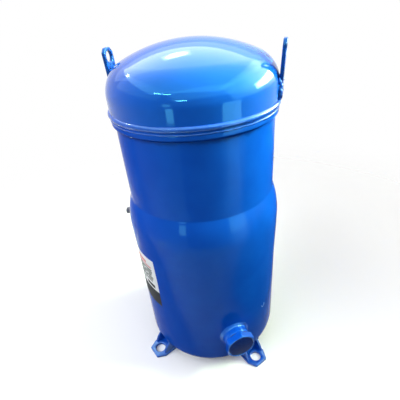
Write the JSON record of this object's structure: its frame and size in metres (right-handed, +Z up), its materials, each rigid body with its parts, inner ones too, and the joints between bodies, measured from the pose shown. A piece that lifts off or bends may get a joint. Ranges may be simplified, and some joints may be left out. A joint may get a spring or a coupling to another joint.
{
  "type": "scroll compressor",
  "caption": "Upright hermetic scroll compressor: domed, necked steel shell on feet with lifting lugs, oil port, tube stubs and terminal box, holding a motor, crankshaft and scroll pair.",
  "frame": {"origin": "on the shell's axis, at the centre of the four mounting holes, level with the underside of the feet", "axes": "+Z up along the shell's axis; -Y is the front, with the oil port towards its right; +X is the right, where one lifting lug stands 7 degrees towards the front"},
  "size_m": [0.2802, 0.3208, 0.5573],
  "materials": {
    "shell_paint": "glossy blue enamel over steel",
    "gasket": "flat fibre gasket",
    "copper_plate": "copper-plated steel tube, slightly dull",
    "box_plastic": "moulded, fine grain",
    "plated_steel": "zinc-plated steel",
    "sealing_glass": "fused sealing glass",
    "pin_metal": "bright drawn pin",
    "lamination": "stacked electrical steel",
    "winding_copper": "varnished copper wire",
    "cast_iron": "cast, machined on its faces",
    "bearing_bronze": "sintered bronze",
    "machined_steel": "ground steel",
    "cast_aluminium": "die-cast",
    "seal_polymer": "smooth polymer strip"
  },
  "bodies": {
    "housing": {"main_shell": "shell_paint", "separator_plate": "shell_paint", "top_cap": "shell_paint", "cap_weld_bead": "shell_paint", "lifting_lug_left": "shell_paint", "lifting_lug_right": "shell_paint", "mounting_foot_front_right": "shell_paint", "mounting_foot_rear_right": "shell_paint", "mounting_foot_rear_left": "shell_paint", "mounting_foot_front_left": "shell_paint", "oil_port_stub": "shell_paint", "oil_port_plug": "shell_paint", "gauge_port_stub": "shell_paint", "gauge_port_cap": "shell_paint", "terminal_saddle": "shell_paint", "oil_port_gasket": "gasket", "suction_stub": "copper_plate", "discharge_stub": "copper_plate", "terminal_box": "box_plastic", "terminal_cover": "box_plastic", "terminal_knockouts": "box_plastic", "terminal_cover_screws": "plated_steel", "terminal_cup": "plated_steel", "terminal_earth_screw": "plated_steel", "suction_baffle": "plated_steel", "fixed_scroll_bolts": "plated_steel", "check_valve_cage": "plated_steel", "terminal_glass": "sealing_glass", "terminal_pins": "pin_metal", "stator_core": "lamination", "stator_windings": "winding_copper", "lower_bearing_support": "cast_iron", "main_bearing_housing": "cast_iron", "fixed_scroll": "cast_iron", "floating_seal": "cast_iron", "lower_bearing": "bearing_bronze", "main_bearing": "bearing_bronze", "thrust_plate": "machined_steel", "fixed_tip_seal": "seal_polymer"},
    "crank": {"crankshaft": "machined_steel", "drive_bush": "bearing_bronze", "rotor_core": "lamination", "rotor_end_rings": "cast_aluminium", "upper_counterweight": "cast_iron", "lower_counterweight": "cast_iron", "oil_pickup": "plated_steel"},
    "orbiter": {"orbiting_scroll": "cast_iron", "orbiting_bearing": "bearing_bronze", "orbiting_tip_seal": "seal_polymer", "oldham_ring": "cast_aluminium"},
    "valve_disc": {"check_valve_disc": "plated_steel"}
  },
  "joints": [
    {"name": "crank_spin", "type": "hinge", "parent": "housing", "child": "crank", "pos_m": [0, 0, 0.33], "axis": [0, 0, 1], "continuous": true},
    {"name": "orbit", "type": "hinge", "parent": "crank", "child": "orbiter", "pos_m": [0.00596, 0, 0.375], "axis": [0, 0, 1], "continuous": true},
    {"name": "valve_lift", "type": "slide", "parent": "housing", "child": "valve_disc", "axis": [0, 0, 1], "range_m": [0, 0.0065]}
  ],
  "couplings": [
    {"joint": "orbit", "follows": "crank_spin", "ratio": -1}
  ]
}
